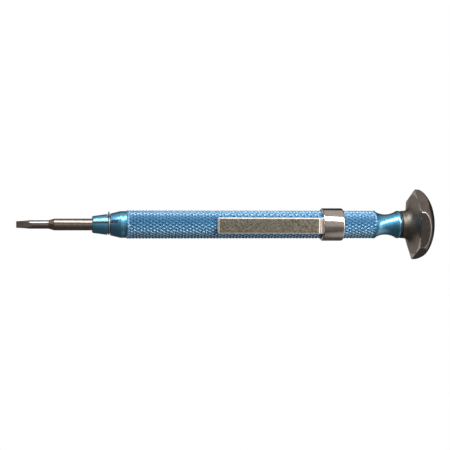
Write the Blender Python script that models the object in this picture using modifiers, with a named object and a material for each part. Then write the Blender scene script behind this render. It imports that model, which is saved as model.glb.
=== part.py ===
"""Watchmaker's screwdriver: knurled aluminium handle, reversible blade, swivelling hexagonal head.

The tool lies along X with the blade's edge at the origin and the head at +X; +Z is up.
The pocket clip's strap faces -Y. All dimensions below are in millimetres.
Turned pieces are drawn as profiles of (distance along the tool, radius).
"""

import math

import bmesh
import bpy
from mathutils import Matrix, Vector

MM = 0.001

# clearances
RUN_GAP = 0.05       # round a piece that turns or slides
PRESS_GAP = 0.02     # round a piece that is pressed in

# blade, the same at both ends
BLADE_LENGTH = 60.6
TIP_RADIUS = 0.93
TIP_THICKNESS = 0.30
TAPER_END = 3.75
NECK_RADIUS = 1.20
NECK_END = 9.04
SHOULDER_END = 10.6
SHANK_RADIUS = 1.67
FLAT_RUN_OUT = 4.7   # where the ground flats leave the round neck

# handle
NOSE_X = 21.2
NOSE_RADIUS = 2.42
NOSE_BACK_RADIUS = 2.95
GROOVE_X = 25.55
GROOVE_WIDTH = 0.8
GROOVE_RADIUS = 2.42
CONE_RADIUS = 3.10
CONE_END = 29.0
BODY_RADIUS = 3.81
KNURL_START = 31.1
KNURL_END = 102.85
KNURL_RADIUS = 4.05
WAIST_START = 103.4
WAIST_X = 106.1
WAIST_RADIUS = 2.95
WAIST_ARC = 6.0
WAIST_STOP = 109.1
HANDLE_END = 110.2
FLANGE_RADIUS = 4.0
BORE_RADIUS = SHANK_RADIUS + RUN_GAP
BORE_END = 66.0
REAR_BORE_START = 101.0
SLIT_WIDTH = 0.55
SLOT_WIDTH = 1.15
SLOT_LENGTH = 1.95
SLIT_TILT = math.radians(16)

# clamping ring of spring wire
WIRE_RADIUS = 0.25
NIB_HEIGHT = 3.66

# drive socket that the blade's hidden edge sits in
SOCKET_DEPTH = 2.0
SOCKET_LENGTH = 7.2

# pocket clip
COLLAR_START = 87.1
COLLAR_END = 93.4
COLLAR_RADIUS = 4.70
COLLAR_BORE = 4.13
COLLAR_ROUND = 0.5
STRAP_WIDTH = 4.7
STRAP_THICKNESS = 0.5
STRAP_TIP_X = 56.5
STRAP_TIP_Y = 4.40
STRAP_TOP_Y = 5.08
STRAP_ROOT_Y = 4.43

# swivelling head
WASHER_THICKNESS = 0.42
WASHER_RADIUS = 3.92
HEAD_START = 110.75
HEAD_NECK_RADIUS = 4.0
TRUMPET_START = 111.2
RIM_X = 114.5
RIM_RADIUS = 9.5
HEAD_LENGTH_END = 120.3
DOME_RADIUS = 10.57
HEX_RADIUS = 10.45
HEX_TURN = math.radians(24)
HEAD_BORE_RADIUS = 2.5
HEAD_BORE_END = 117.6
BALL_RADIUS = 0.8

# spindle
SPINDLE_RADIUS = 1.25
SPINDLE_HEAD_RADIUS = 2.1
SPINDLE_HEAD_X = 116.45
SPINDLE_END = 117.2
BUSH_START = 110.95
BUSH_END = 116.35

ROUND = 48


def clear_scene():
    """Remove every object the scene starts with."""
    for obj in list(bpy.data.objects):
        bpy.data.objects.remove(obj, do_unlink=True)


def collection(name):
    """Make a collection linked to the scene."""
    found = bpy.data.collections.new(name)
    bpy.context.scene.collection.children.link(found)
    return found


def material(name, colour, roughness, metallic):
    """Make a plain Principled material."""
    made = bpy.data.materials.new(name)
    made.use_nodes = True
    shader = made.node_tree.nodes["Principled BSDF"]
    shader.inputs["Base Color"].default_value = (*colour, 1.0)
    shader.inputs["Roughness"].default_value = roughness
    shader.inputs["Metallic"].default_value = metallic
    return made


def add_object(name, mesh, group, slot=None):
    """Link a new object that holds the mesh."""
    obj = bpy.data.objects.new(name, mesh)
    group.objects.link(obj)
    if slot is not None:
        mesh.materials.append(slot)
    return obj


def along_tool(obj):
    """Turn an object drawn up local Z so that it lies along the tool."""
    obj.rotation_euler = (0.0, math.pi / 2, 0.0)


def turned(name, profile, closed, group, slot, steps=ROUND):
    """Turn a profile of (x, radius) points, given from the head end to the blade end outside."""
    mesh = bpy.data.meshes.new(name)
    points = [(radius * MM, 0.0, x * MM) for x, radius in profile]
    edges = [(i, i + 1) for i in range(len(points) - 1)]
    if closed:
        edges.append((len(points) - 1, 0))
    mesh.from_pydata(points, edges, [])
    obj = add_object(name, mesh, group, slot)
    along_tool(obj)
    screw = obj.modifiers.new("turn", "SCREW")
    screw.axis = "Z"
    screw.angle = math.tau
    screw.steps = steps
    screw.render_steps = steps
    screw.use_merge_vertices = True
    screw.merge_threshold = 0.0000001
    screw.use_smooth_shade = True
    return obj


def box(name, size, group):
    """Make a box centred on its own origin, sizes in millimetres."""
    mesh = bpy.data.meshes.new(name)
    bm = bmesh.new()
    bmesh.ops.create_cube(bm, size=1.0)
    bmesh.ops.scale(bm, vec=Vector(size) * MM, verts=bm.verts)
    bm.to_mesh(mesh)
    bm.free()
    obj = add_object(name, mesh, group)
    obj.display_type = "WIRE"
    obj.hide_render = True
    return obj


def cut(obj, cutter, operation="DIFFERENCE"):
    """Cut an object with another, exactly."""
    modifier = obj.modifiers.new(cutter.name, "BOOLEAN")
    modifier.operation = operation
    modifier.solver = "EXACT"
    modifier.object = cutter


def arc(centre_x, centre_r, radius, start, stop, count):
    """Points of an arc in the (x, radius) plane, angles in degrees from +X."""
    made = []
    for i in range(count + 1):
        angle = math.radians(start + (stop - start) * i / count)
        made.append((centre_x + radius * math.cos(angle), centre_r + radius * math.sin(angle)))
    return made


def half_thickness(distance):
    """Half the blade's thickness across its flats at a distance from its edge."""
    slope = (NECK_RADIUS - TIP_THICKNESS / 2) / FLAT_RUN_OUT
    return TIP_THICKNESS / 2 + slope * distance


def blade_profile():
    """Half of the reversible blade, from its middle to its edge."""
    return [
        (SHOULDER_END, SHANK_RADIUS),
        (NECK_END, NECK_RADIUS),
        (TAPER_END, NECK_RADIUS),
        (TAPER_END * 0.6, (NECK_RADIUS + TIP_RADIUS) / 2 - 0.01),
        (0.0, TIP_RADIUS),
        (0.0, 0.0),
    ]


def make_blade(parts, cutters, slot):
    """Reversible steel blade with flats ground on both ends."""
    near = blade_profile()
    far = [(BLADE_LENGTH - x, radius) for x, radius in reversed(near)]
    blade = turned("blade", far + near, False, parts, slot, 32)
    tilt = math.atan2(half_thickness(1.0) - half_thickness(0.0), 1.0)
    for end in (0, 1):
        for side in (-1, 1):
            grind = box(f"grind_{end}_{side + 1}", (6.4, 2.0, 4.0), cutters)
            toward = 1.0 if end == 0 else -1.0
            edge_x = 0.0 if end == 0 else BLADE_LENGTH
            direction = Vector((math.cos(tilt) * toward, math.sin(tilt) * side, 0.0))
            outward = Vector((-math.sin(tilt) * toward, math.cos(tilt) * side, 0.0))
            start = Vector((edge_x, TIP_THICKNESS / 2 * side, 0.0)) - direction * 0.8
            grind.location = (start + direction * 3.2 + outward * 1.0) * MM
            grind.rotation_euler = (0.0, 0.0, math.atan2(direction.y, direction.x))
            cut(blade, grind)
    return blade


def handle_profile():
    """Handle from the bottom of the spindle bore, round the outside, to the end of the blade bore."""
    middle_r = WAIST_RADIUS + WAIST_ARC

    def waist(x):
        return middle_r - math.sqrt(WAIST_ARC ** 2 - (x - WAIST_X) ** 2)

    profile = [
        (REAR_BORE_START, 0.0),
        (REAR_BORE_START, SPINDLE_RADIUS + PRESS_GAP),
        (HANDLE_END, SPINDLE_RADIUS + PRESS_GAP),
        (HANDLE_END, FLANGE_RADIUS - 0.12),
        (HANDLE_END - 0.12, FLANGE_RADIUS),
        (WAIST_STOP + 0.45, FLANGE_RADIUS),
        (WAIST_STOP + 0.2, FLANGE_RADIUS - 0.04),
    ]
    count = 12
    for i in range(count + 1):
        x = WAIST_STOP + (WAIST_START - WAIST_STOP) * i / count
        profile.append((x, waist(x)))
    profile += [
        (KNURL_END, KNURL_RADIUS),
        (KNURL_START, KNURL_RADIUS),
        (KNURL_START - 0.18, BODY_RADIUS),
        (CONE_END + 0.3, BODY_RADIUS),
        (CONE_END, BODY_RADIUS - 0.06),
        (GROOVE_X + GROOVE_WIDTH, CONE_RADIUS),
        (GROOVE_X + GROOVE_WIDTH, GROOVE_RADIUS),
        (GROOVE_X, GROOVE_RADIUS),
        (GROOVE_X, NOSE_BACK_RADIUS),
        (NOSE_X + 0.2, NOSE_RADIUS),
        (NOSE_X, NOSE_RADIUS - 0.2),
        (NOSE_X, BORE_RADIUS),
        (BORE_END, BORE_RADIUS),
        (BORE_END + 0.9, 0.0),
    ]
    return profile


def make_handle(parts, cutters, slot):
    """Handle with its split nose: a saw slit in front and a wider relief slot behind the ring."""
    handle = turned("handle_barrel", handle_profile(), False, parts, slot)
    slit = box("nose_slit", (GROOVE_X + GROOVE_WIDTH + 1.0 - NOSE_X, 9.0, SLIT_WIDTH), cutters)
    slit.location = ((NOSE_X + GROOVE_X + GROOVE_WIDTH) / 2 * MM, 0.0, 0.0)
    slit.rotation_euler = (-SLIT_TILT, 0.0, 0.0)
    cut(handle, slit)
    slot_box = box("relief_slot", (SLOT_LENGTH, 9.2, SLOT_WIDTH), cutters)
    slot_box.location = ((GROOVE_X + GROOVE_WIDTH + SLOT_LENGTH / 2) * MM, 0.0, 0.0)
    slot_box.rotation_euler = (-SLIT_TILT, 0.0, 0.0)
    cut(handle, slot_box)
    return handle


def make_clamp_ring(parts, slot):
    """Open spring-wire ring in the nose groove, its last bit bent outward as a nib."""
    ring_radius = GROOVE_RADIUS + RUN_GAP + WIRE_RADIUS
    start = math.radians(104)
    sweep = math.radians(340)
    count = 40
    points = []
    for i in range(count + 1):
        angle = start + sweep * i / count
        points.append((0.0, math.cos(angle) * ring_radius, math.sin(angle) * ring_radius))
    last = start + sweep
    outward = (math.cos(last + 0.12), math.sin(last + 0.12))
    bend = ring_radius + WIRE_RADIUS * 1.2
    points.append((0.0, outward[0] * bend, outward[1] * bend))
    points.append((0.0, outward[0] * NIB_HEIGHT, outward[1] * NIB_HEIGHT))
    curve = bpy.data.curves.new("clamp_ring", "CURVE")
    curve.dimensions = "3D"
    curve.bevel_depth = WIRE_RADIUS * MM
    curve.bevel_resolution = 2
    curve.use_fill_caps = True
    spline = curve.splines.new("POLY")
    spline.points.add(len(points) - 1)
    for point, place in zip(spline.points, points):
        point.co = (place[0] * MM, place[1] * MM, place[2] * MM, 1.0)
    ring = bpy.data.objects.new("clamp_ring", curve)
    parts.objects.link(ring)
    curve.materials.append(slot)
    ring.location = ((GROOVE_X + GROOVE_WIDTH / 2) * MM, 0.0, 0.0)
    return ring


def make_drive_socket(parts, cutters, slot):
    """Plug pressed into the handle with a slot that holds the blade's hidden edge."""
    start = BLADE_LENGTH - SOCKET_DEPTH
    end = start + SOCKET_LENGTH
    radius = BORE_RADIUS - PRESS_GAP
    profile = [(end, 0.0), (end, radius - 0.15), (end - 0.15, radius), (start, radius), (start, 0.0)]
    socket = turned("drive_socket", profile, False, parts, slot, 32)
    deep = SOCKET_DEPTH + RUN_GAP * 2
    wedge = box("socket_slot", (deep + 1.0, 1.0, 5.0), cutters)
    near = half_thickness(SOCKET_DEPTH + 1.0) + RUN_GAP * 1.5
    far = half_thickness(-RUN_GAP * 2) + RUN_GAP * 1.5
    for vertex in wedge.data.vertices:
        half = near if vertex.co.x < 0 else far
        vertex.co.y = math.copysign(half * MM, vertex.co.y)
    wedge.location = ((start - 1.0 + (deep + 1.0) / 2) * MM, 0.0, 0.0)
    cut(socket, wedge)
    return socket


def make_collar(parts, slot):
    """Clip's band round the knurl, its ends rolled in."""
    outer = COLLAR_RADIUS - COLLAR_ROUND
    profile = arc(COLLAR_END - COLLAR_ROUND, outer, COLLAR_ROUND, 0, 90, 4)
    profile += arc(COLLAR_START + COLLAR_ROUND, outer, COLLAR_ROUND, 90, 180, 4)
    profile += [(COLLAR_START, COLLAR_BORE), (COLLAR_END, COLLAR_BORE)]
    return turned("clip_collar", profile, True, parts, slot)


def strap_path():
    """Middle line of the strap's sheet from its free end to its root, as (x, distance from axis)."""
    return [
        (STRAP_TIP_X, STRAP_TIP_Y),
        (STRAP_TIP_X + 1.6, STRAP_TIP_Y + 0.03),
        (COLLAR_START - 3.2, STRAP_TOP_Y - 0.02),
        (COLLAR_START - 1.9, STRAP_TOP_Y),
        (COLLAR_START - 1.35, STRAP_TOP_Y - 0.1),
        (COLLAR_START - 0.95, STRAP_ROOT_Y + 0.2),
        (COLLAR_START - 0.6, STRAP_ROOT_Y + 0.03),
        (COLLAR_START - RUN_GAP, STRAP_ROOT_Y),
    ]


def make_strap(parts, slot):
    """Spring strap of the clip, cut from sheet and stepped down to the band at its root."""
    path = [Vector((x, -y)) for x, y in strap_path()]
    upper = []
    lower = []
    for i, point in enumerate(path):
        before = path[max(i - 1, 0)]
        after = path[min(i + 1, len(path) - 1)]
        run = (after - before).normalized()
        side = Vector((run.y, -run.x)) * (STRAP_THICKNESS / 2)
        upper.append(point + side)
        lower.append(point - side)
    outline = upper + lower[::-1]
    curve = bpy.data.curves.new("strap_outline", "CURVE")
    curve.dimensions = "2D"
    curve.fill_mode = "BOTH"
    curve.extrude = STRAP_WIDTH / 2 * MM
    spline = curve.splines.new("POLY")
    spline.points.add(len(outline) - 1)
    spline.use_cyclic_u = True
    # the object's origin is on the line that the strap bends about, just in front of the band
    root = Vector((COLLAR_START - 0.6, -STRAP_ROOT_Y))
    for point, place in zip(spline.points, outline):
        local = (place - root) * MM
        point.co = (local.x, local.y, 0.0, 1.0)
    drawn = bpy.data.objects.new("strap_outline", curve)
    parts.objects.link(drawn)
    bpy.context.view_layer.update()
    depsgraph = bpy.context.evaluated_depsgraph_get()
    mesh = bpy.data.meshes.new_from_object(drawn.evaluated_get(depsgraph), depsgraph=depsgraph)
    bpy.data.objects.remove(drawn, do_unlink=True)
    bm = bmesh.new()
    bm.from_mesh(mesh)
    bmesh.ops.remove_doubles(bm, verts=bm.verts, dist=0.0000005)
    bmesh.ops.recalc_face_normals(bm, faces=bm.faces)
    tip_corners = []
    for edge in bm.edges:
        one, two = (v.co for v in edge.verts)
        at_tip = max(one.x, two.x) < (STRAP_TIP_X - root.x + 0.1) * MM
        across = abs(one.z - two.z) < 1e-7 and abs(one.y - two.y) > 0.2 * MM
        if at_tip and across:
            tip_corners.append(edge)
    bmesh.ops.bevel(
        bm, geom=tip_corners, offset=0.45 * MM, offset_type="OFFSET", segments=3, profile=0.5,
        affect="EDGES",
    )
    mesh.materials.clear()
    bm.to_mesh(mesh)
    bm.free()
    strap = add_object("clip_strap", mesh, parts, slot)
    strap.location = (root.x * MM, root.y * MM, 0.0)
    return strap


def head_profile():
    """Round blank of the head: spindle bore, neck, trumpet, underside and domed end."""
    profile = [
        (HEAD_BORE_END + BALL_RADIUS + 0.55, 0.0),
        (HEAD_BORE_END + BALL_RADIUS + 0.35, BALL_RADIUS + RUN_GAP),
        (HEAD_BORE_END, BALL_RADIUS + RUN_GAP),
        (HEAD_BORE_END, HEAD_BORE_RADIUS),
        (HEAD_START, HEAD_BORE_RADIUS),
        (HEAD_START, HEAD_NECK_RADIUS),
        (TRUMPET_START, HEAD_NECK_RADIUS),
    ]
    count = 9
    for i in range(1, count + 1):
        turn = math.pi / 2 * i / count
        x = TRUMPET_START + (RIM_X - TRUMPET_START) * math.sin(turn)
        spread = (RIM_RADIUS - HEAD_NECK_RADIUS) * (1 - math.cos(turn)) ** 1.2
        profile.append((x, HEAD_NECK_RADIUS + spread))
    count = 12
    for i in range(count + 1):
        turn = math.pi / 2 * i / count
        x = RIM_X + (HEAD_LENGTH_END - RIM_X) * math.sin(turn)
        radius = DOME_RADIUS * math.cos(turn)
        profile.append((x, max(radius, 0.0) if i < count else 0.0))
    return list(reversed(profile))


def make_head(parts, cutters, slot):
    """Swivelling head: a turned blank milled to a hexagon."""
    head = turned("swivel_head", head_profile(), False, parts, slot, 72)
    mesh = bpy.data.meshes.new("hexagon")
    bm = bmesh.new()
    bmesh.ops.create_cone(
        bm, cap_ends=True, segments=6, radius1=HEX_RADIUS * MM, radius2=HEX_RADIUS * MM,
        depth=24.0 * MM,
    )
    bm.to_mesh(mesh)
    bm.free()
    hexagon = add_object("hexagon", mesh, cutters)
    hexagon.display_type = "WIRE"
    hexagon.hide_render = True
    hexagon.location = (RIM_X * MM, 0.0, 0.0)
    first = math.atan2(mesh.vertices[0].co.y, mesh.vertices[0].co.x)
    # a corner stands at HEX_TURN above the -Y direction
    corner = Vector((0.0, -math.cos(HEX_TURN), math.sin(HEX_TURN)))
    lie = Matrix.Rotation(math.pi / 2, 4, "Y")
    flat = lie @ Vector((math.cos(first), math.sin(first), 0.0))
    spin = math.atan2(corner.z, corner.y) - math.atan2(flat.z, flat.y)
    hexagon.rotation_euler = (Matrix.Rotation(spin, 4, "X") @ lie).to_euler()
    cut(head, hexagon, "INTERSECT")
    return head


def make_spindle(parts, slot):
    """Headed pin pressed into the handle; the head turns on it."""
    start = REAR_BORE_START + 0.1
    profile = [
        (SPINDLE_END, 0.0),
        (SPINDLE_END, SPINDLE_HEAD_RADIUS - 0.15),
        (SPINDLE_END - 0.15, SPINDLE_HEAD_RADIUS),
        (SPINDLE_HEAD_X, SPINDLE_HEAD_RADIUS),
        (SPINDLE_HEAD_X, SPINDLE_RADIUS),
        (start + 0.3, SPINDLE_RADIUS),
        (start, SPINDLE_RADIUS - 0.3),
        (start, 0.0),
    ]
    return turned("swivel_spindle", profile, False, parts, slot, 32)


def ring_piece(name, start, end, outer, inner, parts, slot, steps=ROUND):
    """Plain turned ring with a small chamfer on its outside corners."""
    edge = 0.08
    profile = [
        (end, inner),
        (end, outer - edge),
        (end - edge, outer),
        (start + edge, outer),
        (start, outer - edge),
        (start, inner),
    ]
    return turned(name, profile, True, parts, slot, steps)


def make_ball(parts, slot):
    """Steel ball that takes the thrust between the spindle and the head."""
    mesh = bpy.data.meshes.new("thrust_ball")
    bm = bmesh.new()
    bmesh.ops.create_uvsphere(bm, u_segments=20, v_segments=12, radius=BALL_RADIUS * MM)
    bm.to_mesh(mesh)
    bm.free()
    ball = add_object("thrust_ball", mesh, parts, slot)
    ball.location = ((SPINDLE_END + RUN_GAP + BALL_RADIUS) * MM, 0.0, 0.0)
    return ball


def smooth(obj, degrees=30):
    """Shade smooth, keeping real corners sharp."""
    if obj.type != "MESH":
        return
    for polygon in obj.data.polygons:
        polygon.use_smooth = True
    if obj.data.polygons:
        obj.data.set_sharp_from_angle(angle=math.radians(degrees))


def main():
    clear_scene()
    parts = collection("watchmaker_screwdriver")
    cutters = collection("cutters")
    blue = material("blue_anodised", (0.06, 0.27, 0.48), 0.32, 0.9)
    steel = material("polished_steel", (0.62, 0.60, 0.58), 0.2, 1.0)
    spring = material("spring_steel", (0.35, 0.34, 0.33), 0.35, 1.0)
    nickel = material("bright_nickel", (0.66, 0.62, 0.58), 0.15, 1.0)
    strap_metal = material("satin_nickel", (0.40, 0.38, 0.33), 0.45, 1.0)
    gunmetal = material("black_nickel", (0.22, 0.20, 0.19), 0.25, 1.0)
    socket_steel = material("socket_steel", (0.35, 0.34, 0.33), 0.4, 1.0)
    spindle_steel = material("spindle_steel", (0.62, 0.60, 0.58), 0.25, 1.0)
    ball_steel = material("ball_steel", (0.62, 0.60, 0.58), 0.1, 1.0)
    brass = material("brass", (0.70, 0.52, 0.22), 0.3, 1.0)
    dark = material("dark_washer", (0.05, 0.05, 0.05), 0.5, 0.6)
    make_handle(parts, cutters, blue)
    make_blade(parts, cutters, steel)
    make_clamp_ring(parts, spring)
    make_drive_socket(parts, cutters, socket_steel)
    make_collar(parts, nickel)
    make_strap(parts, strap_metal)
    make_head(parts, cutters, gunmetal)
    make_spindle(parts, spindle_steel)
    washer_start = HANDLE_END + RUN_GAP
    ring_piece(
        "thrust_washer", washer_start, washer_start + WASHER_THICKNESS, WASHER_RADIUS,
        SPINDLE_RADIUS + RUN_GAP, parts, dark,
    )
    ring_piece(
        "head_bush", BUSH_START, BUSH_END, HEAD_BORE_RADIUS - PRESS_GAP,
        SPINDLE_RADIUS + RUN_GAP, parts, brass, 32,
    )
    make_ball(parts, ball_steel)
    for obj in parts.objects:
        smooth(obj)


main()
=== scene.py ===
"""Looks of the watchmaker's screwdriver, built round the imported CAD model.

The tool lies along X, blade's edge at the origin, head at +X, clip's strap facing -Y.
Sizes in the profiles are millimetres, as (distance along the tool, radius).
"""

import math

import bmesh
import bpy
import numpy as np
from mathutils import Matrix, Vector


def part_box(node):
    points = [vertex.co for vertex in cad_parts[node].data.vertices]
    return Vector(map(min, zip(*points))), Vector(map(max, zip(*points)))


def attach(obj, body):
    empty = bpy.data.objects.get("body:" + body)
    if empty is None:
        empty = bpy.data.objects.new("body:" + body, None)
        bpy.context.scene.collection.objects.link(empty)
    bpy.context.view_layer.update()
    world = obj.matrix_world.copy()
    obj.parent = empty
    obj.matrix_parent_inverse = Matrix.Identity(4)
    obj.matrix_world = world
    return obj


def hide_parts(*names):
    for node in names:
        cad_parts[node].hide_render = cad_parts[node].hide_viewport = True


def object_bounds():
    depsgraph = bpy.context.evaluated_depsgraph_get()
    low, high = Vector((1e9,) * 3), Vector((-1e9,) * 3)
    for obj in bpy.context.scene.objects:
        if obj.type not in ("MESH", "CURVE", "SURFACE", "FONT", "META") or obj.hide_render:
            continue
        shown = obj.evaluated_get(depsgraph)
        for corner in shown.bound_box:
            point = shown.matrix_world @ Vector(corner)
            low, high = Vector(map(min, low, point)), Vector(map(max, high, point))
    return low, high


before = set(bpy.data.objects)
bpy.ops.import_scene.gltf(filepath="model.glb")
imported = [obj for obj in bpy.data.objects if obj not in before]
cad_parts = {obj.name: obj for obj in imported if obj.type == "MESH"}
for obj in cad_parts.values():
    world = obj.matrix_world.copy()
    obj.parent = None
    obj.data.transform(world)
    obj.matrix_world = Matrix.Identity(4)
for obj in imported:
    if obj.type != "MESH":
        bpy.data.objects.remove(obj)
cad_low, cad_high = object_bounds()
MM = 0.001
scene = bpy.context.scene


def edge_mm(node, side):
    """Lowest (0) or highest (1) X of a CAD node, in millimetres."""
    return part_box(node)[side].x / MM


# places taken from the CAD
NOSE_X = edge_mm("handle_barrel", 0)
HANDLE_END = edge_mm("handle_barrel", 1)
BLADE_LENGTH = edge_mm("blade", 1)
COLLAR_START = edge_mm("clip_collar", 0)
COLLAR_END = edge_mm("clip_collar", 1)
STRAP_TIP_X = edge_mm("clip_strap", 0)
STRAP_ROOT_X = edge_mm("clip_strap", 1)
HEAD_START = edge_mm("swivel_head", 0)
HEAD_END = edge_mm("swivel_head", 1)
KNURL_CREST = -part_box("handle_barrel")[0].z / MM

# sizes shared with the CAD, in millimetres
BORE_RADIUS = 1.72
NOSE_RADIUS = 2.42
NOSE_BACK_RADIUS = 2.95
GROOVE_X = 25.55
GROOVE_END = 26.35
GROOVE_RADIUS = 2.42
CONE_RADIUS = 3.10
CONE_END = 29.0
BODY_RADIUS = 3.81
SLIT_WIDTH = 0.55
SLIT_TILT = math.radians(16)
RELIEF_LENGTH = 1.95
RELIEF_WIDTH = 1.15
KNURL_START = 31.1
KNURL_END = 102.85
WAIST_START = 103.4
WAIST_X = 106.1
WAIST_STOP = 109.1
WAIST_RADIUS = 2.95
WAIST_ARC = 6.0
FLANGE_RADIUS = 4.0
SPINDLE_BORE = 1.27
SPINDLE_BORE_DEPTH = 9.0
TIP_THICKNESS = 0.30
NECK_RADIUS = 1.20
SHANK_RADIUS = 1.67
FLAT_RUN_OUT = 4.7
COLLAR_BORE = 4.13
COLLAR_ROUND = 0.5
STRAP_HALF_THICK = 0.25
HEAD_NECK_RADIUS = 4.0
TRUMPET_START = 111.2
RIM_X = 114.5
RIM_RADIUS = 9.5
HEX_RADIUS = 10.45
HEX_TURN = math.radians(24)
DOME_RADIUS = 10.57
HEAD_BORE_RADIUS = 2.5
HEAD_BORE_DEPTH = 2.4


# ---------------------------------------------------------------- materials

class Look:
    """A Principled material with small procedural detail."""

    def __init__(self, name, colour, roughness, metallic):
        self.material = bpy.data.materials.new(name)
        self.material.use_nodes = True
        self.nodes = self.material.node_tree.nodes
        self.links = self.material.node_tree.links
        self.shader = self.nodes["Principled BSDF"]
        self.shader.inputs["Base Color"].default_value = (*colour, 1.0)
        self.shader.inputs["Roughness"].default_value = roughness
        self.shader.inputs["Metallic"].default_value = metallic
        self.place = self.nodes.new("ShaderNodeTexCoord").outputs["Object"]

    def stretched(self, stretch):
        """Object coordinates in millimetres, stretched along each axis."""
        mapping = self.nodes.new("ShaderNodeMapping")
        mapping.inputs["Scale"].default_value = [1000.0 * s for s in stretch]
        self.links.new(self.place, mapping.inputs["Vector"])
        return mapping.outputs["Vector"]

    def noise(self, scale, detail=3.0, stretch=(1, 1, 1)):
        """Noise with about `scale` cells a millimetre."""
        node = self.nodes.new("ShaderNodeTexNoise")
        node.inputs["Scale"].default_value = scale
        node.inputs["Detail"].default_value = detail
        self.links.new(self.stretched(stretch), node.inputs["Vector"])
        return node.outputs["Fac"]

    def spread(self, value, low, high, start=0.3, stop=0.7):
        """Map a value onto a range."""
        node = self.nodes.new("ShaderNodeMapRange")
        node.inputs["From Min"].default_value = start
        node.inputs["From Max"].default_value = stop
        node.inputs["To Min"].default_value = low
        node.inputs["To Max"].default_value = high
        self.links.new(value, node.inputs["Value"])
        return node.outputs["Result"]

    def vary_roughness(self, value, low, high):
        """Roughness follows a texture."""
        self.links.new(self.spread(value, low, high), self.shader.inputs["Roughness"])

    def vary_colour(self, value, dark, light, start=0.3, stop=0.7):
        """Colour follows a texture between two tones."""
        mix = self.nodes.new("ShaderNodeMix")
        mix.data_type = "RGBA"
        self.links.new(self.spread(value, 0.0, 1.0, start, stop), mix.inputs["Factor"])
        mix.inputs["A"].default_value = (*dark, 1.0)
        mix.inputs["B"].default_value = (*light, 1.0)
        self.links.new(mix.outputs["Result"], self.shader.inputs["Base Color"])

    def bump(self, value, height_mm, strength=1.0):
        """Relief of a texture, chained after any earlier one."""
        node = self.nodes.new("ShaderNodeBump")
        node.inputs["Strength"].default_value = strength
        node.inputs["Distance"].default_value = height_mm * MM
        self.links.new(value, node.inputs["Height"])
        normal = self.shader.inputs["Normal"]
        if normal.is_linked:
            self.links.new(normal.links[0].from_socket, node.inputs["Normal"])
        self.links.new(node.outputs["Normal"], normal)


def anodised(name, dark, light, roughness, coat, metallic=1.0, coat_ior=2.1):
    """Blue anodised aluminium under its clear oxide, with fine turning lines and paler specks."""
    look = Look(name, light, roughness, metallic)
    look.vary_colour(look.noise(0.3, 4.0), dark, light)
    look.vary_roughness(look.noise(1.0, 5.0), roughness - 0.03, roughness + 0.04)
    look.bump(look.noise(14.0, 3.0, (1.0, 0.25, 0.25)), 0.0004)
    look.shader.inputs["Coat Weight"].default_value = 1.0
    look.shader.inputs["Coat Roughness"].default_value = coat
    look.shader.inputs["Coat IOR"].default_value = coat_ior
    return look.material


def polished_steel():
    """Polished tool steel with faint lines round it."""
    look = Look("polished_steel", (0.42, 0.37, 0.34), 0.12, 1.0)
    look.vary_colour(look.noise(1.2, 4.0), (0.35, 0.30, 0.27), (0.46, 0.41, 0.38))
    look.vary_roughness(look.noise(5.0, 4.0, (2.0, 0.4, 0.4)), 0.10, 0.14)
    look.bump(look.noise(10.0, 2.0, (2.0, 0.15, 0.15)), 0.0001)
    return look.material


def ground_steel():
    """Flat ground across the blade: matte, with grinding lines."""
    look = Look("ground_steel", (0.36, 0.30, 0.27), 0.42, 1.0)
    look.vary_colour(look.noise(2.2, 5.0, (0.5, 1.0, 2.0)), (0.26, 0.22, 0.20), (0.40, 0.35, 0.32))
    look.vary_roughness(look.noise(6.0, 4.0), 0.34, 0.5)
    look.bump(look.noise(12.0, 3.0, (2.2, 1.0, 0.12)), 0.005)
    return look.material


def spring_wire():
    """Drawn spring wire."""
    look = Look("spring_wire", (0.42, 0.42, 0.42), 0.3, 1.0)
    look.vary_colour(look.noise(3.0), (0.30, 0.30, 0.31), (0.55, 0.55, 0.55))
    look.bump(look.noise(20.0), 0.002)
    return look.material


def bright_nickel():
    """Bright nickel plate on a pressed band, slightly wavy with fine scratches."""
    look = Look("bright_nickel", (0.74, 0.69, 0.65), 0.12, 1.0)
    look.vary_colour(look.noise(0.5, 4.0), (0.66, 0.61, 0.57), (0.80, 0.76, 0.73))
    look.vary_roughness(look.noise(3.0, 5.0), 0.11, 0.16)
    look.bump(look.noise(0.45, 2.0), 0.010)
    look.bump(look.noise(15.0, 3.0, (0.3, 1.0, 1.0)), 0.0002)
    return look.material


def satin_nickel():
    """Dull nickel on the strap's face, mottled with a fine grain and bright specks."""
    look = Look("satin_nickel", (0.40, 0.37, 0.31), 0.45, 1.0)
    look.vary_colour(look.noise(2.2, 6.0), (0.17, 0.158, 0.118), (0.50, 0.47, 0.39), 0.34, 0.68)
    look.vary_roughness(look.noise(5.0, 5.0), 0.30, 0.55)
    look.bump(look.noise(2.6, 5.0), 0.030)
    look.bump(look.noise(22.0, 2.0), 0.004)
    return look.material


def nickel_rim_painted_highlight():
    """Nickel on the strap's edges, lighter than the face as a painted highlight."""
    look = Look("nickel_rim_painted_highlight", (0.70, 0.68, 0.66), 0.5, 0.5)
    look.vary_colour(look.noise(3.0, 4.0), (0.62, 0.60, 0.58), (0.78, 0.76, 0.74))
    look.vary_roughness(look.noise(4.0, 4.0), 0.40, 0.60)
    look.bump(look.noise(9.0, 3.0), 0.003)
    return look.material


def black_nickel():
    """Dark polished plate of the head with wipe marks."""
    look = Look("black_nickel", (0.28, 0.255, 0.235), 0.12, 1.0)
    look.vary_colour(look.noise(0.35, 4.0), (0.24, 0.22, 0.20), (0.32, 0.295, 0.275))
    look.vary_roughness(look.noise(1.6, 6.0), 0.13, 0.24)
    look.bump(look.noise(12.0, 3.0), 0.0006)
    return look.material


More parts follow.
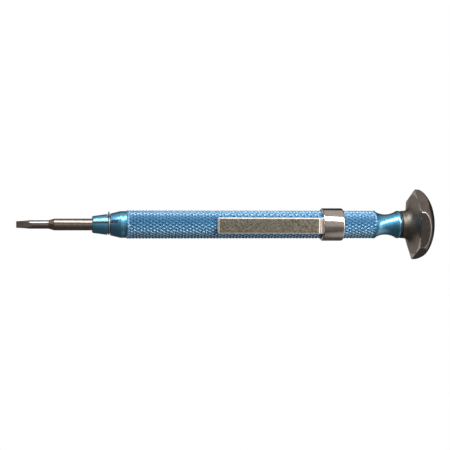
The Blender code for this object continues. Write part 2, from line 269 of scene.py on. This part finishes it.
def blasted_painted_shade():
    """Duller plate inside the head's trumpet; its darker colour is painted shade."""
    look = Look("blasted_painted_shade", (0.20, 0.185, 0.165), 0.40, 1.0)
    look.vary_colour(look.noise(0.5, 4.0), (0.17, 0.155, 0.135), (0.24, 0.22, 0.20))
    look.vary_roughness(look.noise(2.0, 6.0), 0.40, 0.52)
    look.bump(look.noise(10.0, 3.0), 0.002)
    return look.material


def turned_metal(name, dark, light, roughness):
    """Plain turned metal of the inner pieces."""
    look = Look(name, light, roughness, 1.0)
    look.vary_colour(look.noise(1.5, 4.0), dark, light)
    look.vary_roughness(look.noise(6.0, 4.0), roughness - 0.06, roughness + 0.1)
    look.bump(look.noise(14.0, 3.0, (2.0, 0.3, 0.3)), 0.002)
    return look.material


def dark_plastic():
    """Dark washer."""
    look = Look("dark_washer", (0.06, 0.05, 0.045), 0.35, 0.3)
    look.vary_colour(look.noise(3.0), (0.045, 0.038, 0.034), (0.09, 0.08, 0.07))
    look.bump(look.noise(12.0), 0.004)
    return look.material


# ---------------------------------------------------------------- mesh helpers

RING_WELD = 0.0000002   # metres, joins the coinciding points of an end
CAD_WELD = 0.000001     # metres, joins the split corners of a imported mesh


def finish_mesh(name, mesh, looks, body, nodes, sharp=35.0):
    """Shade, name and mount a piece on its body."""
    mesh.validate()
    for polygon in mesh.polygons:
        polygon.use_smooth = True
    mesh.set_sharp_from_angle(angle=math.radians(sharp))
    piece = bpy.data.objects.new(name, mesh)
    scene.collection.objects.link(piece)
    for look in looks:
        mesh.materials.append(look)
    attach(piece, body)
    if nodes:
        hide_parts(*nodes)
    return piece


def grid_mesh(name, rings, loop=False):
    """Skin equally long closed rings; a ring whose points coincide closes the end."""
    columns = len(rings[0])
    points = np.concatenate([np.asarray(ring, float) for ring in rings])
    faces = []
    last = len(rings) if loop else len(rings) - 1
    for i in range(last):
        here = i * columns
        there = ((i + 1) % len(rings)) * columns
        for j in range(columns):
            k = (j + 1) % columns
            faces.append((here + j, here + k, there + k, there + j))
    mesh = bpy.data.meshes.new(name)
    mesh.from_pydata((points * MM).tolist(), [], faces)
    bm = bmesh.new()
    bm.from_mesh(mesh)
    bmesh.ops.remove_doubles(bm, verts=bm.verts, dist=RING_WELD)
    bmesh.ops.recalc_face_normals(bm, faces=bm.faces)
    bm.to_mesh(mesh)
    bm.free()
    return mesh


def ring_at(x, radius, columns):
    """Ring of points round the tool's axis; radius may be a number or one for each column."""
    angles = np.arange(columns) * math.tau / columns
    radii = np.broadcast_to(np.asarray(radius, float), (columns,))
    return np.stack([np.full(columns, x), np.cos(angles) * radii, np.sin(angles) * radii], 1)


def revolved_mesh(name, profile, columns, loop=False):
    """Turn a profile round the tool's axis; a loop is a ring-shaped piece."""
    return grid_mesh(name, [ring_at(x, max(r, 0.0), columns) for x, r in profile], loop)


def rounded(profile, radius, count=3):
    """Round every corner of a profile by a small radius."""
    made = [profile[0]]
    for before, here, after in zip(profile, profile[1:], profile[2:]):
        p, q, s = Vector(before), Vector(here), Vector(after)
        one, two = (p - q), (s - q)
        cut = min(radius, one.length * 0.45, two.length * 0.45)
        if cut < 0.004 or one.angle(two) > math.radians(170):
            made.append(here)
            continue
        start = q + one.normalized() * cut
        stop = q + two.normalized() * cut
        for i in range(count + 1):
            t = i / count
            made.append(tuple(start * (1 - t) ** 2 + q * 2 * t * (1 - t) + stop * t * t))
    made.append(profile[-1])
    return made


def cut_with(mesh_name, mesh, cutters):
    """Boolean difference of a mesh with cutter objects, applied."""
    body = bpy.data.objects.new("cutting", mesh)
    scene.collection.objects.link(body)
    for cutter in cutters:
        modifier = body.modifiers.new(cutter.name, "BOOLEAN")
        modifier.solver = "EXACT"
        modifier.object = cutter
    bpy.context.view_layer.update()
    depsgraph = bpy.context.evaluated_depsgraph_get()
    made = bpy.data.meshes.new_from_object(body.evaluated_get(depsgraph))
    made.name = mesh_name
    bpy.data.objects.remove(body, do_unlink=True)
    for cutter in cutters:
        bpy.data.objects.remove(cutter, do_unlink=True)
    return made


def cutter_box(name, size, location, rotation):
    """Box used only for cutting, millimetres."""
    bm = bmesh.new()
    bmesh.ops.create_cube(bm, size=1.0)
    bmesh.ops.scale(bm, vec=Vector(size) * MM, verts=bm.verts)
    mesh = bpy.data.meshes.new(name)
    bm.to_mesh(mesh)
    bm.free()
    box = bpy.data.objects.new(name, mesh)
    scene.collection.objects.link(box)
    box.location = Vector(location) * MM
    box.rotation_euler = rotation
    return box


def arc(x, r, radius, start, stop, count):
    """Arc in the (x, radius) plane, degrees."""
    angles = [math.radians(start + (stop - start) * i / count) for i in range(count + 1)]
    return [(x + radius * math.cos(a), r + radius * math.sin(a)) for a in angles]


# ---------------------------------------------------------------- handle

KNURL_TEETH = 24
KNURL_PITCH = 1.85
KNURL_DEPTH = 0.38
KNURL_STEPS = 8         # mesh columns and rows in one tooth
KNURL_FADE = 3.0        # rows over which the teeth run out
LAND_JOIN = 30.2        # where nose and grip meet, under the plain land
WAIST_RINGS = 40


def knurl_rings():
    """Diamond knurl: two families of V grooves that cross, leaving blunt pyramids."""
    columns = KNURL_TEETH * KNURL_STEPS
    length = KNURL_END - KNURL_START
    rows = round(length / KNURL_PITCH * KNURL_STEPS)
    column = np.arange(columns)
    rings = []
    for row in range(rows + 1):
        x = KNURL_START + length * row / rows
        one = ((column + row) / KNURL_STEPS) % 1.0
        two = ((column - row) / KNURL_STEPS) % 1.0
        height = np.minimum(1 - np.abs(2 * one - 1), 1 - np.abs(2 * two - 1))
        height = 0.5 * height + 0.5 * np.sin(height * math.pi / 2)
        fade = min(1.0, min(row, rows - row) / KNURL_FADE)
        depth = KNURL_DEPTH * fade
        rings.append(ring_at(x, KNURL_CREST - depth * (1 - height), columns))
    return rings, columns


def waist_radius(x):
    """Radius of the waist behind the knurl."""
    return WAIST_RADIUS + WAIST_ARC - math.sqrt(WAIST_ARC ** 2 - (x - WAIST_X) ** 2)


def make_handle(look, shaded_knurl_look):
    """Handle in two pieces that meet under the plain land: split nose, and grip with waist."""
    nose = rounded([
        (LAND_JOIN, 0.0), (LAND_JOIN, BODY_RADIUS), (CONE_END + 0.25, BODY_RADIUS),
        (GROOVE_END, CONE_RADIUS), (GROOVE_END, GROOVE_RADIUS), (GROOVE_X, GROOVE_RADIUS),
        (GROOVE_X, NOSE_BACK_RADIUS), (NOSE_X + 0.28, NOSE_RADIUS),
        (NOSE_X, NOSE_RADIUS - 0.22), (NOSE_X, BORE_RADIUS), (LAND_JOIN - 0.4, BORE_RADIUS),
        (LAND_JOIN - 0.4, 0.0),
    ], 0.07)
    mesh = revolved_mesh("handle_nose", nose, 96)
    tilt = (-SLIT_TILT, 0.0, 0.0)
    slit = cutter_box("slit", (7.0, 9.0, SLIT_WIDTH), ((NOSE_X + GROOVE_END) / 2, 0, 0), tilt)
    relief = cutter_box("relief", (RELIEF_LENGTH, 9.2, RELIEF_WIDTH),
                        (GROOVE_END + RELIEF_LENGTH / 2, 0, 0), tilt)
    mesh = cut_with("handle_nose", mesh, [slit, relief])
    finish_mesh("handle_nose", mesh, [look], "handle", ["handle_barrel"], 28)

    rings, columns = knurl_rings()
    front = [(LAND_JOIN, 0.0), (LAND_JOIN, BODY_RADIUS), (KNURL_START - 0.3, BODY_RADIUS),
             (KNURL_START - 0.12, BODY_RADIUS + 0.06)]
    back = [(KNURL_END + 0.28, 3.80), (KNURL_END + 0.5, 3.62)]
    for i in range(WAIST_RINGS + 1):
        x = WAIST_START + (WAIST_STOP - WAIST_START) * i / WAIST_RINGS
        back.append((x, waist_radius(x)))
    bore_stop = HANDLE_END - SPINDLE_BORE_DEPTH
    back += [(109.25, 3.87), (109.4, 3.95), (109.55, FLANGE_RADIUS), (109.95, FLANGE_RADIUS),
             (110.08, FLANGE_RADIUS - 0.03), (110.16, FLANGE_RADIUS - 0.09),
             (HANDLE_END, FLANGE_RADIUS - 0.17), (HANDLE_END, SPINDLE_BORE),
             (bore_stop, SPINDLE_BORE), (bore_stop, 0.0)]
    all_rings = [ring_at(x, r, columns) for x, r in front]
    all_rings += rings
    all_rings += [ring_at(x, r, columns) for x, r in back]
    mesh = grid_mesh("handle_grip", all_rings)
    turn_knurl_diagonals(mesh)
    piece = finish_mesh("handle_grip", mesh, [look, shaded_knurl_look], "handle",
                        ["handle_barrel"], 24)
    # the knurl's faces take the darker blue, which is painted shade
    for polygon in piece.data.polygons:
        knurled = KNURL_START - 0.05 < polygon.center.x / MM < KNURL_END + 0.2
        polygon.material_index = 1 if knurled else 0


def turn_knurl_diagonals(mesh):
    """Split the knurl's quads along the groove or ridge that runs through them."""
    bm = bmesh.new()
    bm.from_mesh(mesh)
    low = (KNURL_START + 0.01) * MM
    high = (KNURL_END - 0.01) * MM
    quads = [f for f in bm.faces if len(f.verts) == 4 and low < f.calc_center_median().x < high
             and f.calc_center_median().yz.length > 3.4 * MM]
    for face in quads:
        a, b, c, d = face.verts
        radii = [v.co.yz.length for v in (a, b, c, d)]
        if abs(radii[0] - radii[2]) < abs(radii[1] - radii[3]):
            bmesh.utils.face_split(face, a, c)
        else:
            bmesh.utils.face_split(face, b, d)
    bm.to_mesh(mesh)
    bm.free()


# ---------------------------------------------------------------- blade and ring

def make_blade(polished, ground):
    """Reversible blade; the ground flats have their own finish."""
    half = [(10.6, SHANK_RADIUS), (9.04, NECK_RADIUS), (3.75, NECK_RADIUS), (2.25, 1.055), (0.1, 0.932),
            (0.0, 0.89), (0.0, 0.0)]
    profile = [(BLADE_LENGTH - x, r) for x, r in reversed(half)] + half
    mesh = revolved_mesh("blade_steel", rounded(profile, 0.25, 4), 72)
    slope = (NECK_RADIUS - TIP_THICKNESS / 2) / FLAT_RUN_OUT
    tilt = math.atan(slope)
    cutters = []
    for end in (0, 1):
        for side in (-1, 1):
            toward = 1.0 if end == 0 else -1.0
            direction = Vector((math.cos(tilt) * toward, math.sin(tilt) * side, 0.0))
            outward = Vector((-math.sin(tilt) * toward, math.cos(tilt) * side, 0.0))
            edge = Vector((end * BLADE_LENGTH, TIP_THICKNESS / 2 * side, 0.0))
            centre = edge + direction * 2.4 + outward
            turn = (0.0, 0.0, math.atan2(direction.y, direction.x))
            cutters.append(cutter_box(f"grind{end}{side}", (6.4, 2.0, 4.0), centre, turn))
    mesh = cut_with("blade_steel", mesh, cutters)
    piece = finish_mesh("blade_steel", mesh, [polished, ground], "blade",
                        ["blade"], 20)
    reach = FLAT_RUN_OUT + 0.2
    for polygon in piece.data.polygons:
        normal = polygon.normal
        slanted = abs(abs(normal.y) - math.cos(tilt)) < 0.002 and abs(normal.z) < 0.002
        end_face = abs(normal.x) > 0.99
        centre = abs(polygon.center.x) / MM
        at_end = centre < reach or centre > BLADE_LENGTH - reach
        if at_end and (slanted or end_face):
            polygon.material_index = 1


def copy_node(node, name, look, body):
    """A welded, smooth shaded copy of a CAD node that stands for it."""
    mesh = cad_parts[node].data.copy()
    mesh.materials.clear()
    bm = bmesh.new()
    bm.from_mesh(mesh)
    bmesh.ops.remove_doubles(bm, verts=bm.verts, dist=CAD_WELD)
    bm.to_mesh(mesh)
    bm.free()
    finish_mesh(name, mesh, [look], body, [node], 40)


# ---------------------------------------------------------------- clip

def make_collar(look):
    """Band of the clip, its ends rolled in."""
    outer = -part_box("clip_collar")[0].z / MM
    roll = COLLAR_ROUND
    profile = arc(COLLAR_END - roll, outer - roll, roll, 0, 90, 10)
    profile += arc(COLLAR_START + roll, outer - roll, roll, 90, 180, 10)
    profile += [(COLLAR_START + 0.05, COLLAR_BORE), (COLLAR_END - 0.05, COLLAR_BORE)]
    mesh = revolved_mesh("clip_band", profile, 128, True)
    finish_mesh("clip_band", mesh, [look], "clip_band", ["clip_collar"], 60)


def strap_path():
    """Middle line of the strap's sheet from tip to root, as (x, distance from axis)."""
    return [
        (STRAP_TIP_X, 4.40), (STRAP_TIP_X + 1.6, 4.43), (COLLAR_START - 3.2, 5.06),
        (COLLAR_START - 1.9, 5.08), (COLLAR_START - 1.35, 4.98), (COLLAR_START - 0.95, 4.63),
        (COLLAR_START - 0.6, 4.46), (STRAP_ROOT_X, 4.43),
    ]


def smooth_line(points, spacing):
    """Catmull-Rom line through the points, sampled about every `spacing`."""
    pts = [Vector(p) for p in points]
    pts = [pts[0] * 2 - pts[1]] + pts + [pts[-1] * 2 - pts[-2]]
    made = []
    for p0, p1, p2, p3 in zip(pts, pts[1:], pts[2:], pts[3:]):
        length = (p2 - p1).length
        steps = max(2, round(length / spacing))
        m1 = (p2 - p0) / max((p2 - p0).length, 1e-9) * length
        m2 = (p3 - p1) / max((p3 - p1).length, 1e-9) * length
        for i in range(steps):
            t = i / steps
            h00 = 2 * t ** 3 - 3 * t ** 2 + 1
            h10 = t ** 3 - 2 * t ** 2 + t
            h01 = -2 * t ** 3 + 3 * t ** 2
            h11 = t ** 3 - t ** 2
            made.append(p1 * h00 + m1 * h10 + p2 * h01 + m2 * h11)
    made.append(pts[-2])
    return made


STRAP_EDGE = 0.36       # how far the rounded long edges reach in
STRAP_CORNER = 0.42     # radius of the free end's corners
EDGE_STEPS = 6
FACE_STEPS = 10
# the step down to the collar takes the band's bright nickel: its own polish and a painted highlight
BEND_LENGTH = 1.6       # of the step down to the collar


def strap_section(width):
    """Cross-section of the sheet as (across, up), flat faces between rounded edges."""
    flat = width - STRAP_EDGE
    section = []
    for side in (1, -1):
        for j in range(FACE_STEPS + 1):
            section.append((side * (-flat + 2 * flat * j / FACE_STEPS), side * STRAP_HALF_THICK))
        for j in range(1, EDGE_STEPS):
            angle = side * math.pi / 2 - math.pi * j / EDGE_STEPS
            section.append((side * flat + STRAP_EDGE * math.cos(angle),
                            STRAP_HALF_THICK * math.sin(angle)))
    return section


def make_strap(face_look, rim_highlight_look, bend_highlight_look):
    """Strap of the clip: sheet with rounded edges, swept along its side profile."""
    half_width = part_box("clip_strap")[1].z / MM
    line = smooth_line(strap_path(), 0.25)
    rings = []
    for i, point in enumerate(line):
        before = line[max(i - 1, 0)]
        after = line[min(i + 1, len(line) - 1)]
        run = (after - before).normalized()
        normal = Vector((-run.y, run.x))
        reach = point.x - STRAP_TIP_X
        width = half_width
        if reach < STRAP_CORNER:
            fall = STRAP_CORNER ** 2 - (STRAP_CORNER - reach) ** 2
            width = half_width - STRAP_CORNER + math.sqrt(max(fall, 0.0))
        ring = []
        for across, up in strap_section(width):
            place = point + normal * up
            ring.append((place.x, -place.y, across))
        if reach < STRAP_HALF_THICK:
            # the free end thins to a round edge
            shrink = math.sqrt(max(1 - (1 - reach / STRAP_HALF_THICK) ** 2, 0.0))
            ring = [(x, -point.y + (y + point.y) * max(shrink, 0.05), z) for x, y, z in ring]
        rings.append(ring)
    columns = len(rings[0])
    tip_cap = [(STRAP_TIP_X, -line[0].y, 0.0)] * columns
    root_cap = [(line[-1].x, -line[-1].y, 0.0)] * columns
    mesh = grid_mesh("clip_strap_sheet", [tip_cap] + rings + [root_cap])
    piece = finish_mesh("clip_strap_sheet", mesh, [face_look, rim_highlight_look, bend_highlight_look], "clip_spring",
                        ["clip_strap"], 60)
    for polygon in piece.data.polygons:
        centre = polygon.center / MM
        # the long edges and the free end take the lighter nickel: a painted highlight
        near_edge = abs(centre.z) > half_width - STRAP_EDGE - 0.01
        near_tip = centre.x < STRAP_TIP_X + 0.4
        # bright nickel on the step down: partly the band's polish, partly a painted highlight
        bend = centre.x > COLLAR_START - BEND_LENGTH
        polygon.material_index = 1 if near_edge or near_tip else 2 if bend else 0


# ---------------------------------------------------------------- head

HEX_CORNER = 0.8        # radius of the worn corners between the flats
CORNER_STEPS = 10
FLAT_STEPS = 44
EDGE_SOFT = 0.28        # rounding between flats and dome
RIM_SOFT = 0.08         # rounding between flats and underside


def blend_corner(start, corner, stop, steps):
    """Points after `start` on a curve that rounds a corner."""
    made = []
    for i in range(1, steps + 1):
        t = i / steps
        made.append(tuple(start * (1 - t) ** 2 + corner * 2 * t * (1 - t) + stop * t * t))
    return made


def hexagon_columns():
    """Angles from -Y towards +Z and distances to the hexagon's outline, corners filleted."""
    apothem = HEX_RADIUS * math.cos(math.pi / 6)
    centre = (apothem - HEX_CORNER) / math.cos(math.pi / 6)
    touch = math.atan2(HEX_CORNER * 0.5, centre + HEX_CORNER * math.cos(math.pi / 6))
    columns = []
    for corner in range(6):
        middle = HEX_TURN + corner * math.pi / 3
        for i in range(CORNER_STEPS):
            turn = -touch + 2 * touch * i / CORNER_STEPS
            reach = centre * math.cos(turn)
            reach += math.sqrt(HEX_CORNER ** 2 - (centre * math.sin(turn)) ** 2)
            columns.append((middle + turn, reach))
        for i in range(FLAT_STEPS):
            turn = touch + (math.pi / 3 - 2 * touch) * i / FLAT_STEPS
            columns.append((middle + turn, apothem / math.cos(turn - math.pi / 6)))
    return columns


def dome_x(radius):
    """Where the dome is at a radius."""
    share = min(radius / DOME_RADIUS, 1.0)
    return RIM_X + (HEAD_END - RIM_X) * math.sqrt(1 - share * share)


def trumpet_point(share):
    """Point of the trumpet from the neck (0) to the underside (1)."""
    turn = math.pi / 2 * share
    x = TRUMPET_START + (RIM_X - TRUMPET_START) * math.sin(turn)
    return x, HEAD_NECK_RADIUS + (RIM_RADIUS - HEAD_NECK_RADIUS) * (1 - math.cos(turn)) ** 1.2


def head_track(wall, trumpet):
    """Outline of the head in one direction, from the dome's top round to the inner bore."""
    track = []
    for i in range(33):
        radius = (wall - EDGE_SOFT) * math.sin(math.pi / 2 * i / 32) ** 0.9 if i else 0.0
        track.append((dome_x(radius), radius))
    corner = Vector((dome_x(wall), wall))
    stop = Vector((corner.x - EDGE_SOFT, wall))
    track += blend_corner(Vector(track[-1]), corner, stop, 4)
    lower = RIM_X + 0.02
    low_soft = min(RIM_SOFT, (stop.x - lower) * 0.4)
    for i in range(1, 7):
        track.append((stop.x + (lower + low_soft - stop.x) * i / 6, wall))
    track += blend_corner(Vector(track[-1]), Vector((lower, wall)),
                          Vector((lower, wall - low_soft)), 3)
    for x, radius in reversed(trumpet):
        track.append((min(x, lower), min(radius, wall - low_soft - 0.005)))
    bore_stop = HEAD_END - HEAD_BORE_DEPTH
    track += [(HEAD_START + 0.1, HEAD_NECK_RADIUS), (HEAD_START, HEAD_NECK_RADIUS - 0.1),
              (HEAD_START, HEAD_BORE_RADIUS), (bore_stop, HEAD_BORE_RADIUS), (bore_stop, 0.0)]
    return track


def make_head(look, inner_shaded_look):
    """Head: dome, six flats with softened edges, flat underside and trumpet down to the neck."""
    trumpet = [trumpet_point(i / 24) for i in range(25)]
    tracks = [(angle, head_track(wall, trumpet)) for angle, wall in hexagon_columns()]
    rings = []
    for row in range(len(tracks[0][1])):
        ring = []
        for angle, track in tracks:
            x, radius = track[row]
            ring.append((x, -math.cos(angle) * radius, math.sin(angle) * radius))
        rings.append(ring)
    mesh = grid_mesh("swivel_head_shell", rings)
    piece = finish_mesh("swivel_head_shell", mesh, [look, inner_shaded_look], "head",
                        ["swivel_head"], 50)
    for polygon in piece.data.polygons:
        centre = polygon.center / MM
        # the underside and trumpet take the darkened plate: painted shade under the head
        inside = centre.x < RIM_X + 0.01 and centre.yz.length < HEX_RADIUS * 0.845
        polygon.material_index = 1 if inside else 0


# ---------------------------------------------------------------- stage

FLOOR_REACH = 6.0       # metres
FLOOR_DROP = 0.0005     # metres under the tool's lowest point


def add_floor():
    """Pale floor under the tool, even in brightness."""
    level = cad_low.z - FLOOR_DROP
    corners = [(-1, -1), (1, -1), (1, 1), (-1, 1)]
    mesh = bpy.data.meshes.new("floor")
    mesh.from_pydata([(FLOOR_REACH * x, FLOOR_REACH * y, level) for x, y in corners], [],
                     [(0, 1, 2, 3)])
    floor = bpy.data.objects.new("floor", mesh)
    scene.collection.objects.link(floor)
    look = bpy.data.materials.new("pale_floor")
    look.use_nodes = True
    shader = look.node_tree.nodes["Principled BSDF"]
    shader.inputs["Base Color"].default_value = (0.0, 0.0, 0.0, 1.0)
    shader.inputs["Roughness"].default_value = 1.0
    shader.inputs["Specular IOR Level"].default_value = 0.0
    shader.inputs["Emission Color"].default_value = (1.0, 1.0, 1.0, 1.0)
    shader.inputs["Emission Strength"].default_value = 1.0
    mesh.materials.append(look)
    floor.visible_glossy = False
    floor.visible_diffuse = False
    floor.visible_shadow = False


# what the metal mirrors: direction, cosines where each glow starts and is full, its brightness
ROOM_LEVEL = 0.08
ROOM_GLOWS = [
    ((0.15, -0.95, 0.30), 0.80, 0.97, 0.26),
    ((0.10, -1.00, -0.15), 0.75, 0.98, 0.08),
    ((0.10, 0.05, 1.00), 0.68, 0.97, 0.38),
    ((-0.50, 0.85, 0.00), 0.82, 0.95, 0.60),
    ((-0.80, -0.30, 0.50), 0.70, 0.95, 0.35),
    ((1.00, 0.00, -0.10), 0.40, 0.95, 0.40),
    ((0.85, -0.50, -0.05), 0.90, 0.98, 1.30),
    ((0.60, -0.20, -0.80), 0.78, 0.97, 0.32),
]
ROOM_SHADE = ((0.45, 0.88, 0.15), 0.70, 0.85, -0.88)
ROOM_TINT = (1.0, 0.90, 0.84)


def add_world():
    """White to look at; the metal mirrors a soft room with broad glows and a dark back."""
    world = bpy.data.worlds.new("studio")
    scene.world = world
    world.use_nodes = True
    nodes = world.node_tree.nodes
    links = world.node_tree.links
    direction = nodes.new("ShaderNodeTexCoord").outputs["Generated"]

    def math_node(operation, one, two):
        node = nodes.new("ShaderNodeMath")
        node.operation = operation
        for socket, value in zip(node.inputs, (one, two)):
            if isinstance(value, float):
                socket.default_value = value
            else:
                links.new(value, socket)
        return node.outputs[0]

    def glow(toward, start, full, strength):
        dot = nodes.new("ShaderNodeVectorMath")
        dot.operation = "DOT_PRODUCT"
        dot.inputs[1].default_value = Vector(toward).normalized()
        links.new(direction, dot.inputs[0])
        node = nodes.new("ShaderNodeMapRange")
        node.interpolation_type = "SMOOTHSTEP"
        node.inputs["From Min"].default_value = start
        node.inputs["From Max"].default_value = full
        node.inputs["To Max"].default_value = strength
        links.new(dot.outputs["Value"], node.inputs["Value"])
        return node.outputs["Result"]

    level = math_node("ADD", glow(*ROOM_GLOWS[0]), ROOM_LEVEL)
    for row in ROOM_GLOWS[1:]:
        level = math_node("ADD", level, glow(*row))
    level = math_node("MULTIPLY", level, math_node("ADD", glow(*ROOM_SHADE), 1.0))
    tint = nodes.new("ShaderNodeVectorMath")
    tint.operation = "SCALE"
    tint.inputs[0].default_value = ROOM_TINT
    links.new(level, tint.inputs["Scale"])
    room = nodes["Background"]
    links.new(tint.outputs[0], room.inputs["Color"])
    seen = nodes.new("ShaderNodeBackground")
    seen.inputs["Color"].default_value = (1, 1, 1, 1)
    mix = nodes.new("ShaderNodeMixShader")
    path = nodes.new("ShaderNodeLightPath")
    links.new(path.outputs["Is Camera Ray"], mix.inputs[0])
    links.new(room.outputs[0], mix.inputs[1])
    links.new(seen.outputs[0], mix.inputs[2])
    links.new(mix.outputs[0], nodes["World Output"].inputs["Surface"])


def add_softbox(name, centre, along, length, width, radiance):
    """Area light at `centre`, long side along `along`, facing the tool; metres."""
    light = bpy.data.lights.new(name, "AREA")
    light.shape = "RECTANGLE"
    light.size = length
    light.size_y = width
    light.energy = radiance * math.pi * length * width
    lamp = bpy.data.objects.new(name, light)
    scene.collection.objects.link(lamp)
    side = Vector(along).normalized()
    away = Vector((0.0, centre[1], centre[2]))
    back = (away - side * away.dot(side)).normalized()
    turn = Matrix((side, back.cross(side), back)).transposed()
    lamp.matrix_world = Matrix.Translation(centre) @ turn.to_4x4()
    lamp.visible_camera = False


CAMERA_LENS = 104.9
CAMERA_YAW = math.radians(7.3)          # towards the blade's end
CAMERA_RISE = math.radians(4.2)         # above the tool
CAMERA_DISTANCE = 0.376                 # metres from the point it looks at
CAMERA_AIM = (0.05917, 0.0, -0.00014)   # metres


def add_camera():
    """Long lens, a little towards the blade's end and a little above, level with the tool."""
    data = bpy.data.cameras.new("camera")
    data.lens = CAMERA_LENS
    data.sensor_width = 36.0
    data.clip_start = 0.01
    camera = bpy.data.objects.new("camera", data)
    scene.collection.objects.link(camera)
    toward = Vector((-math.sin(CAMERA_YAW) * math.cos(CAMERA_RISE),
                     -math.cos(CAMERA_YAW) * math.cos(CAMERA_RISE), math.sin(CAMERA_RISE)))
    camera.location = Vector(CAMERA_AIM) + toward * CAMERA_DISTANCE
    view = toward.to_track_quat("Z", "Y").to_matrix()
    # roll so that the tool's axis is level in the picture
    right, up = view.col[0], view.col[1]
    roll = math.atan2(up.x, right.x)
    camera.rotation_euler = (view @ Matrix.Rotation(roll, 3, "Z")).to_euler()
    scene.camera = camera


# ---------------------------------------------------------------- build

KEY_CENTRE = (0.217, -0.144, 0.0798)
KEY_ALONG = (0.8962, -0.4011, -0.1896)
KEY_LENGTH = 0.52
KEY_WIDTH = 0.066
KEY_RADIANCE = 6.0

# the knurl's blue is a darker, less metallic copy of the land's: painted shade on the knurl
make_handle(anodised("blue_anodised", (0.05, 0.36, 0.62), (0.08, 0.43, 0.71), 0.42, 0.13),
            anodised("blue_knurl_painted_shade", (0.06, 0.28, 0.48), (0.09, 0.32, 0.55), 0.62, 0.20,
                     metallic=0.75, coat_ior=1.9))
make_blade(polished_steel(), ground_steel())
copy_node("clamp_ring", "clamp_ring_wire", spring_wire(), "clamp_ring")
nickel = bright_nickel()
make_collar(nickel)
make_strap(satin_nickel(), nickel_rim_painted_highlight(), nickel)
make_head(black_nickel(), blasted_painted_shade())
copy_node("thrust_washer", "thrust_washer_ring", dark_plastic(), "washer")
copy_node("swivel_spindle", "spindle_pin",
          turned_metal("spindle_steel", (0.5, 0.48, 0.46), (0.65, 0.63, 0.61), 0.22),
          "handle")
copy_node("drive_socket", "drive_socket_plug",
          turned_metal("socket_steel", (0.28, 0.27, 0.26), (0.42, 0.41, 0.40), 0.35),
          "handle")
copy_node("head_bush", "head_bush_ring",
          turned_metal("bush_brass", (0.60, 0.42, 0.16), (0.78, 0.58, 0.28), 0.25),
          "head")
copy_node("thrust_ball", "thrust_ball_steel",
          turned_metal("ball_steel", (0.55, 0.53, 0.51), (0.7, 0.68, 0.66), 0.12),
          "head")
add_floor()
add_world()
add_softbox("key", KEY_CENTRE, KEY_ALONG, KEY_LENGTH, KEY_WIDTH, KEY_RADIANCE)
add_camera()
scene.view_settings.view_transform = "Standard"
